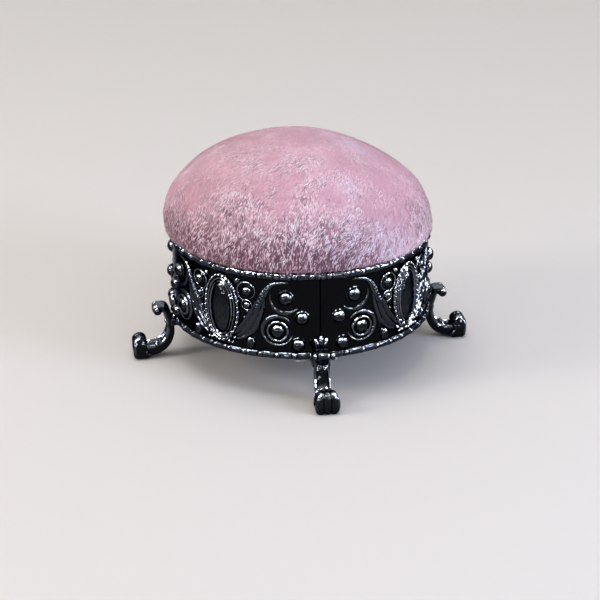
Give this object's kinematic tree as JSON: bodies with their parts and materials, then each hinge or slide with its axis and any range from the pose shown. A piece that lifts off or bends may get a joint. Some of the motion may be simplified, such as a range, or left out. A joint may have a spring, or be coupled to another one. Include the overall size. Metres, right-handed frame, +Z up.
{
  "type": "footed pincushion",
  "caption": "Round velvet pincushion in a cast, plated band with beaded mouldings and oval medallions, standing on scroll feet.",
  "frame": {"origin": "on the surface the feet stand on, under the middle of the band", "axes": "+Z up; -Y towards the front foot, where two band panels meet; +X towards the right foot"},
  "size_m": [0.0938, 0.0938, 0.0611],
  "materials": {
    "plated_casting": "cast zinc, polished and chrome plated, bright on the raised ornament",
    "steel": "bright zinc-plated steel",
    "board": "plain birch plywood",
    "wadding": "firm packed wool wadding",
    "thread": "waxed cotton thread",
    "velvet": "crushed dusty pink velvet with a short dense pile"
  },
  "bodies": {
    "root": {"band_panel_front_right": "plated_casting", "band_panel_front_left": "plated_casting", "band_panel_back_right": "plated_casting", "band_panel_back_left": "plated_casting", "foot_front": "plated_casting", "foot_right": "plated_casting", "foot_back": "plated_casting", "foot_left": "plated_casting", "foot_screw_front_a": "steel", "foot_screw_front_b": "steel", "foot_screw_right_a": "steel", "foot_screw_right_b": "steel", "foot_screw_back_a": "steel", "foot_screw_back_b": "steel", "foot_screw_left_a": "steel", "foot_screw_left_b": "steel", "base_plate": "steel", "cushion_washer": "steel", "cushion_screw": "steel", "cushion_board": "board", "gathering_thread": "thread", "cushion_stuffing": "wadding", "velvet_cover": "velvet"}
  },
  "joints": []
}
